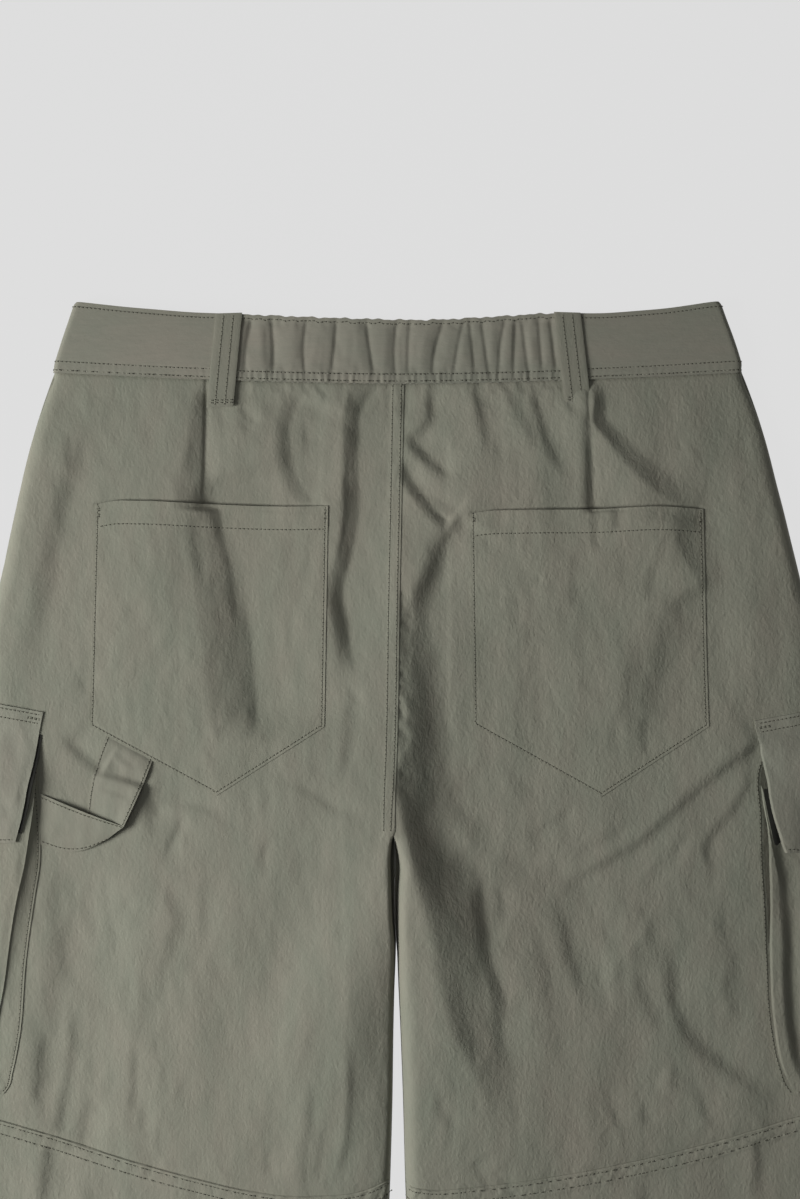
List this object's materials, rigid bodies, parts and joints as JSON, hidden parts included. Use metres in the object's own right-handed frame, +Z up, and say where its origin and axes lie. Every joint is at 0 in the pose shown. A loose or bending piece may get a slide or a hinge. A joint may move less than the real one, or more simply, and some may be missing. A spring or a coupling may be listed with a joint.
{
  "type": "cargo pants",
  "caption": "Cargo pants laid flat on their front: gathered waistband with belt loops, patch pockets, bellows pockets with flaps at the sides, tool loop and curved knee seams.",
  "frame": {"origin": "centre of the garment's plan box, on the surface that it lies on", "axes": "+Y along the legs towards the waist, +Z up from the surface through the back of the pants, +X towards the wearer's right"},
  "size_m": [0.5562, 1.1, 0.0138],
  "materials": {
    "leg_cloth": "washed, finely crinkled plain weave",
    "band_cloth": "washed, finely crinkled plain weave",
    "pocket_cloth": "washed, finely crinkled plain weave",
    "flap_cloth": "washed, finely crinkled plain weave",
    "loop_cloth": "washed, finely crinkled plain weave",
    "thread": "matte sewing thread",
    "button_plastic": "matte"
  },
  "bodies": {
    "root": {"back_left": "leg_cloth", "back_leg_left": "leg_cloth", "back_leg_right": "leg_cloth", "back_pocket_left": "pocket_cloth", "back_pocket_right": "pocket_cloth", "back_right": "leg_cloth", "belt_loop_back_left": "loop_cloth", "belt_loop_back_right": "loop_cloth", "belt_loop_front_left": "loop_cloth", "belt_loop_front_right": "loop_cloth", "cargo_bellows_left": "pocket_cloth", "cargo_bellows_right": "pocket_cloth", "cargo_flap_left": "flap_cloth", "cargo_flap_right": "flap_cloth", "cargo_pocket_left": "pocket_cloth", "cargo_pocket_right": "pocket_cloth", "front_left": "leg_cloth", "front_right": "leg_cloth", "tool_loop": "loop_cloth", "waist_button": "button_plastic", "waistband_back": "band_cloth", "waistband_left": "band_cloth", "waistband_right": "band_cloth"}
  },
  "joints": []
}
